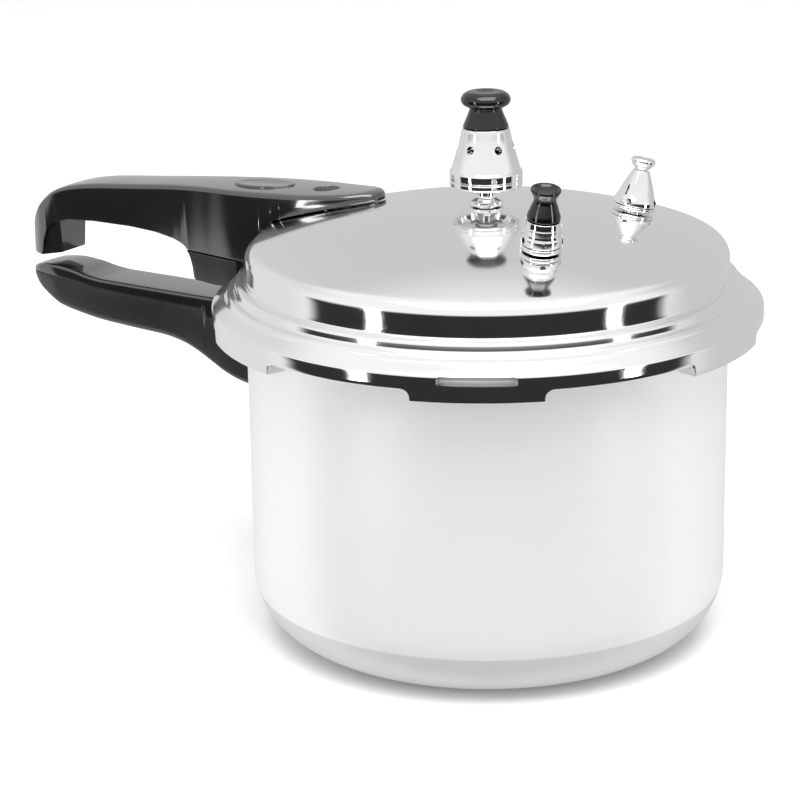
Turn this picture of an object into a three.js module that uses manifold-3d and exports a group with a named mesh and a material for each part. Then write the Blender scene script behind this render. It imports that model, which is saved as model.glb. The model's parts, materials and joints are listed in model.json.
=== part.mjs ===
// Stove-top pressure canner, closed and locked. Millimetres, +Z up, pot axis on Z, handles along -X.
import * as THREE from "three";
import { mergeVertices } from "three/addons/utils/BufferGeometryUtils.js";
import Module from "manifold-3d";

const wasm = await Module();
wasm.setup();

// ---- driving dimensions ----
const POT_R = 102.5; // outside radius of the pot wall
const WALL = 3.3; // pot wall thickness
const BASE = 4; // pot base thickness
const BASE_CORNER = 29; // outside corner radius at the base
const RIM_TOP = 143.6; // sealing face of the pot
const DATUM = -5; // level that heights on the lid and handles are measured from
const LUG_COUNT = 6;
const LUG_HALF_ANGLE = 13; // degrees
const LID_R = 117.1; // outside radius of the lid skirt
const LID_TOP = 191.7;
const DOME_R = 324.5; // radius of the domed lid's outside
const SHOULDER_R = 102.5; // upright wall under the dome
const SHOULDER_FILLET = 6.2; // between the dome and that wall
const LID_T = 3; // lid thickness
const SKIRT_Z = 145.3; // skirt edge between the lugs
const LUG_Z = 140.6; // lower face of the lid's lugs
const GAP = 0.35; // clearance between neighbouring pieces
const ROUND = 48; // facets round the big turned pieces
const SMALL = 24; // facets round the small turned pieces
const HANDLE_X = -82.5; // indicator hole in the lid handle
const BOLT_X = -94.4; // bolt that ties the lid handle to the lid
const RELIEF_AT = [48, -35.3]; // black-capped valve on the lid
const SAFETY_AT = [44.9, 46.3]; // all-metal valve on the lid
const PIPE_TOP = 20.5; // top of the vent pipe, above the dome's top
const WEIGHT_Z = 8.2; // lower edge of the weight, above the dome's top
const KNOB_Z = 33.6; // lower face of the weight's knob, above the dome's top

const deg = THREE.MathUtils.degToRad;
const v2 = (p) => new THREE.Vector2(p[0], p[1]);

// ---- materials ----
const paint = (color, roughness, metalness) =>
  new THREE.MeshStandardMaterial({ color, roughness, metalness });
const polished = paint(0xd8d9da, 0.08, 1);
const satin = paint(0xdfe0e0, 0.3, 1);
const chrome = paint(0xd0d2d4, 0.06, 1);
const steel = paint(0xa8abae, 0.35, 1);
const bakelite = paint(0x151516, 0.22, 0);
const bakeliteSatin = paint(0x1b1b1c, 0.42, 0);
const silicone = paint(0x8f9091, 0.6, 0);

// ---- solids ----
function toSolid(geometry) {
  const bare = geometry.index ? geometry.toNonIndexed() : geometry.clone();
  bare.deleteAttribute("normal");
  bare.deleteAttribute("uv");
  const merged = mergeVertices(bare, 1e-4);
  const triVerts = [];
  const index = merged.index.array;
  for (let i = 0; i < index.length; i += 3) {
    const [a, b, c] = [index[i], index[i + 1], index[i + 2]];
    if (a !== b && b !== c && c !== a) triVerts.push(a, b, c);
  }
  return new wasm.Manifold(
    new wasm.Mesh({
      numProp: 3,
      vertProperties: merged.attributes.position.array,
      triVerts: new Uint32Array(triVerts),
    }),
  );
}

function fromSolid(solid) {
  const mesh = solid.getMesh();
  const geometry = new THREE.BufferGeometry();
  geometry.setAttribute("position", new THREE.BufferAttribute(mesh.vertProperties, 3));
  geometry.setIndex(new THREE.BufferAttribute(mesh.triVerts, 1));
  const flat = geometry.toNonIndexed();
  flat.computeVertexNormals();
  return flat;
}

const fold = (first, rest, step) =>
  fromSolid(rest.reduce((made, g) => step(made, toSolid(g)), toSolid(first)));
const join = (first, ...rest) => fold(first, rest, (a, b) => a.add(b));
const cut = (first, ...rest) => fold(first, rest, (a, b) => a.subtract(b));
const common = (first, ...rest) => fold(first, rest, (a, b) => a.intersect(b));

// ---- shapes ----
// A turned piece about Z from (radius, height) points in either sense.
function turned(profile, segments = SMALL) {
  const points = profile.map(v2);
  if (THREE.ShapeUtils.area(points) < 0) points.reverse();
  const closed = points[0].x > 0 || points[points.length - 1].x > 0;
  if (closed) points.push(points[0].clone());
  return new THREE.LatheGeometry(points, segments).rotateX(Math.PI / 2);
}

const rod = (r, z0, z1, segments = SMALL) =>
  turned([[0, z0], [r, z0], [r, z1], [0, z1]], segments);
const ring = (r0, r1, z0, z1, segments = SMALL) =>
  turned([[r0, z0], [r1, z0], [r1, z1], [r0, z1]], segments);
const hexagon = (r, z0, z1) => rod(r, z0, z1, 6);

function extruded(shape, depth) {
  return new THREE.ExtrudeGeometry(shape, { depth, bevelEnabled: false, curveSegments: 6 });
}

// An upright piece over a plan outline of [x, y] points.
const upright = (plan, z0, z1) =>
  extruded(new THREE.Shape(plan.map(v2)), z1 - z0).translate(0, 0, z0);

// A piece with a side outline of [distance out along -X, height] points, centred on y = 0.
function sidewall(outline, width) {
  const shape = new THREE.Shape(outline.map(([out, z]) => new THREE.Vector2(-out, z)));
  return extruded(shape, width).rotateX(Math.PI / 2).translate(0, width / 2, 0);
}

// A wedge of a ring, centred on an angle in degrees.
function sector(r0, r1, z0, z1, centre, half) {
  const shape = new THREE.Shape();
  shape.absarc(0, 0, r1, deg(centre - half), deg(centre + half), false);
  shape.absarc(0, 0, r0, deg(centre + half), deg(centre - half), true);
  return extruded(shape, z1 - z0).translate(0, 0, z0);
}

const lugAngles = [...Array(LUG_COUNT).keys()].map((i) => (i * 360) / LUG_COUNT);

// Height of the lid's outside, or of its inside with drop = LID_T, at a radius.
function domeHeight(r, drop = 0) {
  const R = DOME_R - drop;
  return LID_TOP - DOME_R + Math.sqrt(R * R - r * r);
}

const domePoints = (radii, drop = 0) => radii.map((r) => [r, domeHeight(r, drop)]);

// The round shoulder from the dome down to the upright wall, outside or drop inside it.
function shoulderArc(steps, drop = 0) {
  const r = SHOULDER_R - SHOULDER_FILLET;
  const tangent = Math.asin(r / (DOME_R - SHOULDER_FILLET));
  const z = LID_TOP - DOME_R + (DOME_R - SHOULDER_FILLET) * Math.cos(tangent);
  return [...Array(steps + 1).keys()].map((i) => {
    const a = tangent + (i / steps) * (Math.PI / 2 - tangent);
    const arc = SHOULDER_FILLET - drop;
    return [r + arc * Math.sin(a), z + arc * Math.cos(a)];
  });
}

// The frame of a valve that stands square on the dome.
function onDome([x, y]) {
  const place = new THREE.Group();
  place.position.set(x, y, domeHeight(Math.hypot(x, y)));
  const normal = new THREE.Vector3(x, y, place.position.z - (LID_TOP - DOME_R)).normalize();
  place.quaternion.setFromUnitVectors(new THREE.Vector3(0, 0, 1), normal);
  place.updateMatrix();
  return place;
}

// A round compression spring about Z.
class Helix extends THREE.Curve {
  constructor(r, z0, z1, turns) {
    super();
    Object.assign(this, { r, z0, z1, turns });
  }
  getPoint(t, target = new THREE.Vector3()) {
    const a = t * this.turns * 2 * Math.PI;
    const z = this.z0 + t * (this.z1 - this.z0);
    return target.set(this.r * Math.cos(a), this.r * Math.sin(a), z);
  }
}

function spring(r, wire, z0, z1, turns) {
  const section = new THREE.Shape();
  section.absarc(0, 0, wire, 0, 2 * Math.PI, false);
  return new THREE.ExtrudeGeometry(section, {
    steps: turns * 12,
    curveSegments: 3,
    bevelEnabled: false,
    extrudePath: new Helix(r, z0 + wire, z1 - wire, turns),
  });
}

const root = new THREE.Group();
const fittings = new THREE.Group(); // everything but the pot itself, with heights above DATUM
fittings.position.z = DATUM;
root.add(fittings);

function add(name, geometry, material, parent = fittings) {
  const mesh = new THREE.Mesh(geometry, material);
  mesh.name = name;
  parent.add(mesh);
}

// ---- pot ----
function cornerArc(r, corner, z0, steps) {
  return [...Array(steps + 1).keys()].map((i) => {
    const a = (i / steps) * (Math.PI / 2);
    return [r - corner + corner * Math.sin(a), z0 + corner - corner * Math.cos(a)];
  });
}

function potBody() {
  const inner = POT_R - WALL;
  const outside = [
    [0, 0],
    ...cornerArc(POT_R, BASE_CORNER, 0, 8),
    [POT_R, RIM_TOP - 10],
    [103.6, RIM_TOP - 6.6],
    [106.4, RIM_TOP - 4],
    [106.4, RIM_TOP],
  ];
  const inside = [
    [100.4, RIM_TOP],
    [inner, RIM_TOP - 1.2],
    ...cornerArc(inner, BASE_CORNER - WALL, BASE, 5).reverse(),
    [0, BASE],
  ];
  const lugs = lugAngles.map((a) =>
    sector(104.5, 111.6, RIM_TOP - 4, RIM_TOP, a, LUG_HALF_ANGLE));
  const rivetHoles = rivetHeights.map((z) =>
    rod(2.35, 0, 14, 12).rotateY(-Math.PI / 2).translate(-95, 0, z + DATUM));
  return cut(join(turned([...outside, ...inside], ROUND), ...lugs), ...rivetHoles);
}

const rivetHeights = [109.5, 130.5];
add("pot_body", potBody(), satin, root);

const potScrewX = [-126, -212];

// The strap that the pot handle is screwed to, riveted on the pot wall.
function potBracket() {
  const strap = [[103, 103.5], [105, 103.5], [105, 117.7], [134, 117.7], [134, 119.7],
    [105, 119.7], [105, 134.9], [103, 134.9]];
  const holes = rivetHeights.map((z) =>
    rod(2.35, 0, 8, 12).rotateY(-Math.PI / 2).translate(-100, 0, z));
  return cut(sidewall(strap, 17), ...holes, rod(2.1, 110, 125, 12).translate(potScrewX[0], 0, 0));
}
add("pot_handle_bracket", potBracket(), steel);

rivetHeights.forEach((z, i) => {
  const rivet = turned([[0, 0], [3.4, 0], [3.9, 0.7], [3.9, 1.6], [2, 1.6], [2, 8.2], [3.6, 8.2],
    [3.6, 8.9], [2.4, 9.6], [0, 9.6]], 16);
  add("pot_handle_rivet_" + (i + 1), rivet.rotateY(-Math.PI / 2).translate(-97.1, 0, z), steel);
});

// Half widths of a handle seen from above, from its root to its free end.
function handlePlan(stations) {
  const near = stations.map(([out, half]) => [-out, -half]);
  const far = stations.map(([out, half]) => [-out, half]).reverse();
  return [...near, ...far];
}

const potPlan = handlePlan([[107.4, 11.5], [120, 12], [150, 12.4], [205, 12.1], [230, 11.4],
  [242, 9.4], [248.4, 6.4], [251, 2.4]]);

function potHandleShell() {
  const outline = [[107.4, 94.4], [115, 94.8], [125, 96.4], [134, 99.2], [141, 103], [148, 106.6],
    [157, 110.2], [168, 112], [186, 112.8], [205, 113.8], [219, 115.6], [231, 117.8], [239, 121.2],
    [246, 125.4], [249.8, 129], [251, 132], [241, 132.1], [224, 131.4], [208, 129.9],
    [185, 129.1], [145, 128.6], [143, 125], [107.4, 125]];
  const shell = common(sidewall(outline, 40), upright(potPlan, 90, 140));
  const tongue = sidewall([[100, 117.3], [134.6, 117.3], [134.6, 120.1], [100, 120.1]], 17.8);
  const head = rod(3.9, 90, 111.4, 16).translate(potScrewX[0], 0, 0);
  const head2 = rod(3.9, 105, 118.6, 16).translate(potScrewX[1], 0, 0);
  const shanks = potScrewX.map((x) => rod(2.1, 90, 140, 12).translate(x, 0, 0));
  return cut(shell, tongue, head, head2, ...shanks);
}
add("pot_handle_shell", potHandleShell(), bakeliteSatin);

function potHandleCover() {
  const outline = [[107.4, 125.35], [142.8, 125.35], [144.8, 128.95], [185, 129.45],
    [208, 130.25], [224, 131.75], [241, 132.45], [251, 132.35], [250.2, 133.6], [246.6, 136],
    [240, 137.4], [232, 137.8], [222, 137.2], [212, 135.4], [203, 134.7], [107.4, 135]];
  const cover = common(sidewall(outline, 40), upright(potPlan, 120, 140));
  const shanks = potScrewX.map((x) => rod(2.1, 120, 133, 12).translate(x, 0, 0));
  return cut(cover, ...shanks);
}
add("pot_handle_cover", potHandleCover(), bakelite);

potScrewX.forEach((x, i) => {
  const head = i === 0 ? 108.4 : 115.6;
  const screw = turned([[0, head], [3.5, head], [3.5, head + 2.4], [1.75, head + 2.4],
    [1.75, 132.4], [0, 132.4]], 16);
  add("pot_handle_screw_" + (i + 1), screw.translate(x, 0, 0), steel);
});

// ---- gasket ----
add("sealing_gasket", turned([[100.6, 149], [113.3, 149], [113.3, 149.7], [110.4, 152.6],
  [106, 155.3], [100.6, 157.1]], ROUND), silicone);

// ---- lid ----
const relief = onDome(RELIEF_AT);
const safety = onDome(SAFETY_AT);
fittings.add(relief, safety);

function lidShell() {
  const outside = [
    ...domePoints([0, 24, 46, 66, 84]),
    ...shoulderArc(5),
    [SHOULDER_R, 162.8], [103.3, 162], [105.8, 161.4], [106.8, 160.4], [107.1, 158.8],
    [107.6, 158], [109.6, 157.4], [110.4, 156.4], [110.9, 155.3], [114.8, 152.8], [116.4, 151.6],
    [LID_R, 150],
    [LID_R, LUG_Z],
  ];
  const inside = [
    [108, LUG_Z], [108, 143.6], [113.9, 143.6], [113.9, 150.1], [110.8, 153.2], [106.4, 155.9],
    [SHOULDER_R - LID_T, 158],
    ...shoulderArc(4, LID_T).reverse(),
    ...domePoints([84, 66, 46, 24, 0], LID_T),
  ];
  const between = lugAngles.map((a) =>
    sector(104, LID_R + 3, LUG_Z - 3, SKIRT_Z, a + 30, 30 - LUG_HALF_ANGLE));
  const window = sector(111, LID_R + 3, 147.1, 150.9, 300, 7.8);
  const holes = [
    rod(5.2, 170, 200),
    rod(2.9, 150, 190, 12).translate(HANDLE_X, 0, 0),
    rod(2.85, 150, 190, 12).translate(BOLT_X, 0, 0),
    rod(4.95, -12, 8).applyMatrix4(relief.matrix),
    rod(4.35, -12, 8).applyMatrix4(safety.matrix),
  ];
  return cut(turned([...outside, ...inside], ROUND), ...between, window, ...holes);
}
add("lid_shell", lidShell(), polished);

// Strap spot-welded over the shoulder of the lid, that carries the root of the lid handle.
add("lid_handle_bracket", sidewall([[107.7, 161.8], [108.2, 159.1], [110.9, 158.3], [111.5, 156.4],
  [118, 152], [118, 144.8], [120.1, 144.8], [120.1, 153.3], [113.3, 157.9], [112.5, 160.2],
  [109.4, 163.2]], 18), steel);

const lidPlan = handlePlan([[53.4, 3.4], [55.4, 6.4], [59, 9.2], [66, 12.4], [78, 15.4], [90, 17.2],
  [106, 17.8], [122, 17], [138, 14.8], [154, 12.9], [176, 12.1], [205, 12], [228, 11.5],
  [240, 9.9], [246.6, 6.8], [249.4, 2.8]]);
const INLAY = { out: 116, long: 15.6, wide: 8.8, top: 187.5, tilt: 2.8 }; // oval on the lid handle
const LID_SCREW_X = -136;

// An upright oval disc, tilted to lie along the sloping top of the handle.
function oval(grow, z0, z1) {
  const shape = new THREE.Shape();
  shape.absellipse(0, 0, INLAY.long + grow, INLAY.wide + grow, 0, 2 * Math.PI, false, 0);
  return new THREE.ExtrudeGeometry(shape, { depth: z1 - z0, bevelEnabled: false, curveSegments: 16 })
    .translate(0, 0, z0)
    .rotateY(deg(-INLAY.tilt))
    .translate(-INLAY.out, 0, INLAY.top);
}

function lidHandleUpper() {
  const underDome = [53.4, 62, 72, 84, 92, 98.4].map((r) => [r, domeHeight(r) + 0.6]);
  const outline = [
    [53.4, 190.2], [58.4, 191.3], [66, 190.6], [80, 189.5], [95, 188.7], [110, 187.9], [125, 187.1],
    [140, 186.2], [160, 184.6], [182, 182.3], [209, 179.4], [222, 177], [231, 173.8],
    [239, 168.6], [245, 161.8], [248.4, 154.6], [249.4, 147], [248.6, 141], [240.4, 141],
    [239.2, 148], [236.2, 154], [231, 158.2], [223.5, 160.4], [207, 161.8], [185, 162], [170, 161.1],
    [159, 159.4], [153.4, 157.4], [151.2, 155.35], [118.2, 155.35], [114, 158.6], [113.2, 160.8],
    [109.8, 164], [103.2, 165], [103.2, 172], [101.6, 175.6],
    ...underDome.reverse(),
  ];
  const grip = common(sidewall(outline, 40), upright(lidPlan, 130, 200));
  const tongue = sidewall([[229, 143.6], [240.6, 141.2], [243, 152], [243, 160], [229, 165]], 16);
  const body = join(grip, tongue);
  const channel = sidewall([[163, 150], [163, 175.8], [182, 174.8], [209, 171.8], [222, 168.8],
    [229, 164.4], [229, 130], [163, 130]], 15.6);
  const tools = [
    channel,
    rod(5.3, 170, 200, 20).translate(HANDLE_X, 0, 0),
    rod(2.85, 160, 184.6, 12).translate(BOLT_X, 0, 0),
    rod(2.1, 130, 170, 12).translate(LID_SCREW_X, 0, 0),
    oval(0.35, -1.6, 4),
  ];
  return cut(body, ...tools);
}
add("lid_handle_upper", lidHandleUpper(), bakelite);
add("lid_handle_inlay", oval(0, -1.2, 0.4), bakeliteSatin);

function lidHandleLower() {
  const outline = [[120.5, 142.6], [136, 141.8], [147.2, 142.4], [148, 147.6], [151, 155],
    [120.5, 155]];
  const body = common(sidewall(outline, 40), upright(lidPlan, 130, 160));
  return cut(body, rod(3.9, 130, 145.4, 16).translate(LID_SCREW_X, 0, 0),
    rod(2.1, 130, 160, 12).translate(LID_SCREW_X, 0, 0));
}
add("lid_handle_lower", lidHandleLower(), bakeliteSatin);

add("lid_handle_screw", turned([[0, 142.6], [3.5, 142.6], [3.5, 145], [1.75, 145],
  [1.75, 169.4], [0, 169.4]], 16).translate(LID_SCREW_X, 0, 0), steel);
add("lid_handle_bolt", turned([[0, 169], [3.6, 169], [4, 169.6], [4, 172.2], [2.5, 172.2],
  [2.5, 184.2], [0, 184.2]], 16).translate(BOLT_X, 0, 0), steel);

// ---- vent pipe and weight, with heights above the dome's top ----
const vent = new THREE.Group();
vent.position.z = LID_TOP;
fittings.add(vent);

add("vent_pipe", turned([[1.6, -16.5], [4.7, -16.5], [4.7, 0.4], [7.3, 0.4], [7.3, 2.3],
  [5.6, 2.9], [4, 3.7], [4, 19.9], [3.4, PIPE_TOP], [1.6, PIPE_TOP]]), chrome, vent);
add("vent_washer", ring(5.1, 8.6, -5.2, -3.6), silicone, vent);
add("vent_nut", cut(hexagon(9.2, -9.9, -5.6), rod(5.05, -20, 0)), steel, vent);

function ventFilter() {
  const cap = turned([[5.05, -10.6], [8.2, -10.6], [8.2, -20.5], [0, -20.5], [0, -19.3],
    [7, -19.3], [7, -11.8], [5.05, -11.8]]);
  const slots = [0, 60, 120].map((a) =>
    new THREE.BoxGeometry(20, 1.8, 5.4).translate(0, 0, -15.9).rotateZ(deg(a)));
  return cut(cap, ...slots);
}
add("vent_filter", ventFilter(), steel, vent);

function weight() {
  const body = turned([[5, WEIGHT_Z + 4], [11.5, WEIGHT_Z + 4], [13, WEIGHT_Z], [14.8, WEIGHT_Z],
    [15.4, 9], [15.4, 14.9], [14.9, 15.6], [12.4, 22.8], [10.2, 31.3], [9.9, KNOB_Z - GAP],
    [2.2, KNOB_Z - GAP], [2.2, 30.6], [5, 28]], 32);
  const vents = [0, 60, 120].map((a) =>
    rod(1.7, -20, 20, 8).rotateY(Math.PI / 2).rotateZ(deg(a)).translate(0, 0, 25.4));
  return cut(body, ...vents);
}
add("regulator_weight", weight(), chrome, vent);
add("regulator_needle", turned([[0, 18.9], [1.2, 21.1], [3, 22.9], [4.6, 23.7], [4.6, 24.5],
  [1.8, 24.5], [1.8, 36], [0, 36]], 20), steel, vent);
add("regulator_knob", turned([[2.1, KNOB_Z], [9.5, KNOB_Z], [8.4, 37.4], [6.9, 40.8],
  [6.9, 41.6], [8.7, 42.2], [10, 43.4], [10.5, 45], [9.9, 47], [8.2, 48.2], [5.4, 48.6],
  [0, 47.8], [0, 36.4], [2.1, 36.4]], 32), bakelite, vent);

// ---- black-capped relief valve ----
const sleeveHoles = (r, z, count) =>
  [...Array(count).keys()].map((i) =>
    rod(r, 3, 12, 8).rotateY(Math.PI / 2).rotateZ(deg(35 + (i * 360) / count)).translate(0, 0, z));

add("relief_valve_base", turned([[2.2, -10], [4.6, -10], [4.6, 0.6], [8.5, 0.6], [8.5, 2.6],
  [2.2, 2.6]]), chrome, relief);
add("relief_valve_sleeve", cut(turned([[5.9, 2.95], [8.4, 2.95], [8.2, 5.6], [7.7, 6.6],
  [7.1, 13.2], [2.4, 13.2], [2.4, 11.6], [5.9, 11.6]]), ...sleeveHoles(1.2, 4.9, 4)), chrome, relief);
add("relief_valve_washer", ring(5, 7.8, -5.1, -3.6), silicone, relief);
add("relief_valve_nut", cut(hexagon(8.6, -9.4, -5.5), rod(5, -12, 0)), steel, relief);
add("relief_valve_pad", rod(4.9, 3, 4), silicone, relief);
add("relief_valve_stem", turned([[0, 4.3], [5.2, 4.3], [5.2, 5.4], [1.9, 5.4], [1.9, 22.4],
  [0, 22.4]]), steel, relief);
add("relief_valve_spring", spring(3.6, 0.35, 5.8, 11.2, 3), steel, relief);
add("relief_valve_cap", turned([[2.2, 13.6], [6.9, 13.6], [6.6, 15.2], [5, 19.9], [4.5, 22],
  [4.9, 23.4], [6, 25.4], [6.1, 26.3], [5.4, 26.8], [3.8, 26], [0, 24.7], [0, 22.8],
  [2.2, 22.8]]), bakelite, relief);

// ---- all-metal safety valve ----
add("safety_valve_base", turned([[1.8, -10], [4, -10], [4, 0.7], [8.8, 0.7], [9.1, 1.5],
  [9.1, 2.4], [1.8, 2.4]]), chrome, safety);
add("safety_valve_bonnet", cut(turned([[5.2, 2.75], [9.1, 2.75], [8.9, 4.6], [7.7, 7.4],
  [6.6, 10.6], [4.9, 14.6], [3.6, 17.6], [1.8, 17.6], [1.8, 15.4], [5.2, 11.4]]),
  ...sleeveHoles(1.2, 5, 4)), chrome, safety);
add("safety_valve_washer", ring(4.4, 7.4, -5.1, -3.6), silicone, safety);
add("safety_valve_nut", cut(hexagon(8, -9.4, -5.5), rod(4.4, -12, 0)), steel, safety);
add("safety_valve_pad", rod(4.3, 2.8, 3.8), silicone, safety);
add("safety_valve_spring", spring(2.9, 0.35, 5.6, 11.2, 3), steel, safety);
add("safety_valve_stem", turned([[0, 4.1], [4.5, 4.1], [4.5, 5.2], [1.4, 5.2], [1.4, 18],
  [3.1, 18], [3.3, 18.8], [4.9, 20.2], [5.3, 21.4], [4.9, 22.5], [3.9, 22.9], [2.6, 22.3],
  [0, 21.7]]),
  chrome, safety);

// ---- pressure indicator under the lid handle ----
add("indicator_pin", turned([[0, 166.9], [1.5, 166.9], [1.5, 169.5], [2.2, 169.5], [2.2, 182.8],
  [4, 182.8], [4, 185.9], [3.4, 186.5], [0, 186.5]], 20).translate(HANDLE_X, 0, 0), steel);
add("indicator_seal", ring(2.5, 4.6, 169.3, 171, 20).translate(HANDLE_X, 0, 0), silicone);
add("indicator_clip", ring(1.8, 3.8, 167.7, 168.9, 20).translate(HANDLE_X, 0, 0), steel);

export default root;
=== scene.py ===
import json
import math

import bmesh
import bpy
from mathutils import Matrix, Vector

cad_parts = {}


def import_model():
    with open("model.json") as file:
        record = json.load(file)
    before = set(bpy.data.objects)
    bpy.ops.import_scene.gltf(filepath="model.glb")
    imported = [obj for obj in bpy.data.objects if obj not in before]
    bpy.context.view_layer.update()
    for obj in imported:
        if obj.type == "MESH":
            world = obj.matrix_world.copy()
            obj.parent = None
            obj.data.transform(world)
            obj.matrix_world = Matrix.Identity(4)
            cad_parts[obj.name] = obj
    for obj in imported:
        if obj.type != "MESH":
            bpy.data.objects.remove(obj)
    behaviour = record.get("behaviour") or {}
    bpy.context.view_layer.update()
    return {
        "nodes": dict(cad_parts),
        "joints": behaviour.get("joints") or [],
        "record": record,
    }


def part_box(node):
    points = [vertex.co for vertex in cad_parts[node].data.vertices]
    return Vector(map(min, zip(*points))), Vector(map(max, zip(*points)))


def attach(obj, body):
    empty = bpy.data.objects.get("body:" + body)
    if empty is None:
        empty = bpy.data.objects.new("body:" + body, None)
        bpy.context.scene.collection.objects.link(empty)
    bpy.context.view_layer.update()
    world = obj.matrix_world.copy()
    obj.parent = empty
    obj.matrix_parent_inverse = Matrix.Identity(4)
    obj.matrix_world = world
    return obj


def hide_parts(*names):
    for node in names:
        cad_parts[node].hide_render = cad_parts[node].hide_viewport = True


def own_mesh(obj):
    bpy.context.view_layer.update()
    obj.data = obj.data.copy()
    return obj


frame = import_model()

# Lengths below are millimetres, in the CAD frame, unless a name says otherwise. Heights on the pot are
# above the surface it stands on; heights on the lid, the handles and their fittings are above DATUM.
MM = 0.001
SHARP_EDGE = 38.0  # degrees between faces above which an edge stays sharp
FILLET_STEPS = 4

# ---- driving dimensions, as in the CAD ----
POT_R = 102.5
WALL = 3.3
BASE = 4.0
BASE_CORNER = 29.0
BAND_TOP = 22.0  # height where the pot's finish changes
RIM_TOP = 143.6
DATUM = -5.0  # level that heights on the lid and handles are measured from
LID_R = 117.1
LID_TOP = 191.7
DOME_R = 324.5
SHOULDER_R = 102.5  # upright wall under the dome
SHOULDER_FILLET = 6.2
LID_T = 3.0
SKIRT_Z = 145.3
LUG_Z = 140.6
LUG_HALF_ANGLE = 13.0
LUGS = 6
SEAM_Z = 155.2  # joint between the two mouldings of the lid handle
WINDOW_ANGLE = 300.0  # centre of the gasket window, anticlockwise from +X
WINDOW_HALF = 7.8  # degrees
RIM_R = 106.4  # outside of the pot's rim between the lugs
LUG_R = 111.6  # outside of the pot's lugs
LIP_R = 108.0  # inner end of the lid's lugs
SKIRT_INNER_R = 113.9
LUG_FILLET = 4.0  # where a lid lug meets the skirt's edge
GRIP_START = 151.2  # where the lid handle leaves its root, out from the axis
SCREW_R = 2.1  # clearance hole of a handle screw
SCREW_HEAD_R = 3.9
WASHER_DEPTH = 4.35  # middle of a valve's inner washer, below the dome
BRACKET_HALF = 9.4  # half the width kept free for the bracket at the lid handle's root
GROOVE_HALF = 7.8  # half the width of the groove under the lid handle


# ---- small helpers ----
def lerp(a, b, t):
    return a + (b - a) * t


def smooth_at(keys, x):
    """Value at x of a smooth curve through (x, value) keys, which rise in x and don't overshoot."""
    if x <= keys[0][0]:
        return keys[0][1]
    if x >= keys[-1][0]:
        return keys[-1][1]
    i = max(k for k in range(len(keys) - 1) if keys[k][0] <= x)
    slopes = [(b[1] - a[1]) / (b[0] - a[0]) for a, b in zip(keys, keys[1:])]

    def tangent(k):
        if k == 0 or k == len(keys) - 1:
            return slopes[min(k, len(slopes) - 1)]
        if slopes[k - 1] * slopes[k] <= 0:
            return 0.0
        return 2 * slopes[k - 1] * slopes[k] / (slopes[k - 1] + slopes[k])

    (x0, v0), (x1, v1) = keys[i], keys[i + 1]
    h = x1 - x0
    t = (x - x0) / h
    return (
        (2 * t**3 - 3 * t**2 + 1) * v0
        + (t**3 - 2 * t**2 + t) * h * tangent(i)
        + (3 * t**2 - 2 * t**3) * v1
        + (t**3 - t**2) * h * tangent(i + 1)
    )


def straight_at(keys, x):
    """Value at x of the straight lines through (x, value) keys."""
    for (x0, v0), (x1, v1) in zip(keys, keys[1:]):
        if x <= x1:
            return lerp(v0, v1, max(0.0, (x - x0) / (x1 - x0)))
    return keys[-1][1]


def rounded(corners):
    """A profile with arcs in its corners. A corner is (radius, height) or (radius, height, fillet)."""
    out = []
    for i, corner in enumerate(corners):
        here = Vector(corner[:2])
        fillet = corner[2] if len(corner) > 2 else 0
        if not fillet or i in (0, len(corners) - 1):
            out.append(here)
            continue
        before = Vector(corners[i - 1][:2]) - here
        after = Vector(corners[i + 1][:2]) - here
        reach = min(fillet, before.length * 0.49, after.length * 0.49)
        start, end = here + before.normalized() * reach, here + after.normalized() * reach
        for k in range(FILLET_STEPS + 1):
            t = k / FILLET_STEPS
            out.append(start * (1 - t) ** 2 + here * 2 * t * (1 - t) + end * t * t)
    return out


def arc(centre, r, start, end, steps):
    """Points of an arc from one angle in degrees to another."""
    angles = [math.radians(lerp(start, end, k / steps)) for k in range(steps + 1)]
    return [(centre[0] + r * math.cos(a), centre[1] + r * math.sin(a)) for a in angles]


def make_object(name, points, faces):
    """A smooth-shaded mesh object from points in millimetres, with edges over an angle kept sharp."""
    mesh = bpy.data.meshes.new(name)
    mesh.from_pydata([Vector(p) * MM for p in points], [], faces)
    bm = bmesh.new()
    bm.from_mesh(mesh)
    bmesh.ops.remove_doubles(bm, verts=bm.verts, dist=1e-7)
    bmesh.ops.dissolve_degenerate(bm, dist=1e-7, edges=bm.edges)
    bmesh.ops.recalc_face_normals(bm, faces=bm.faces)
    bm.to_mesh(mesh)
    bm.free()
    mesh.shade_smooth()
    mesh.set_sharp_from_angle(angle=math.radians(SHARP_EDGE))
    obj = bpy.data.objects.new(name, mesh)
    bpy.context.scene.collection.objects.link(obj)
    return obj


def ring_faces(rows, columns, close_rows=False):
    """Quads of a grid whose columns close on themselves, and whose rows may too."""
    faces = []
    for i in range(rows if close_rows else rows - 1):
        for j in range(columns):
            a, b = i * columns + j, i * columns + (j + 1) % columns
            c, d = (i + 1) % rows * columns + (j + 1) % columns, (i + 1) % rows * columns + j
            faces.append((a, b, c, d))
    return faces


def lobed(name, profile_at, angles):
    """A piece about Z whose closed or axis-to-axis profile depends on the angle in degrees."""
    columns = [profile_at(a) for a in angles]
    rows = len(columns[0])
    points = []
    for i in range(rows):
        for a, column in zip(angles, columns):
            r, z = column[i]
            points.append((r * math.cos(math.radians(a)), r * math.sin(math.radians(a)), z))
    closed = columns[0][0][0] > 1e-6
    return make_object(name, points, ring_faces(rows, len(angles), closed))


def turned(name, corners, segments):
    """A turned piece about Z."""
    profile = rounded(corners)
    angles = [k * 360 / segments for k in range(segments)]
    return lobed(name, lambda a: profile, angles)


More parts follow.
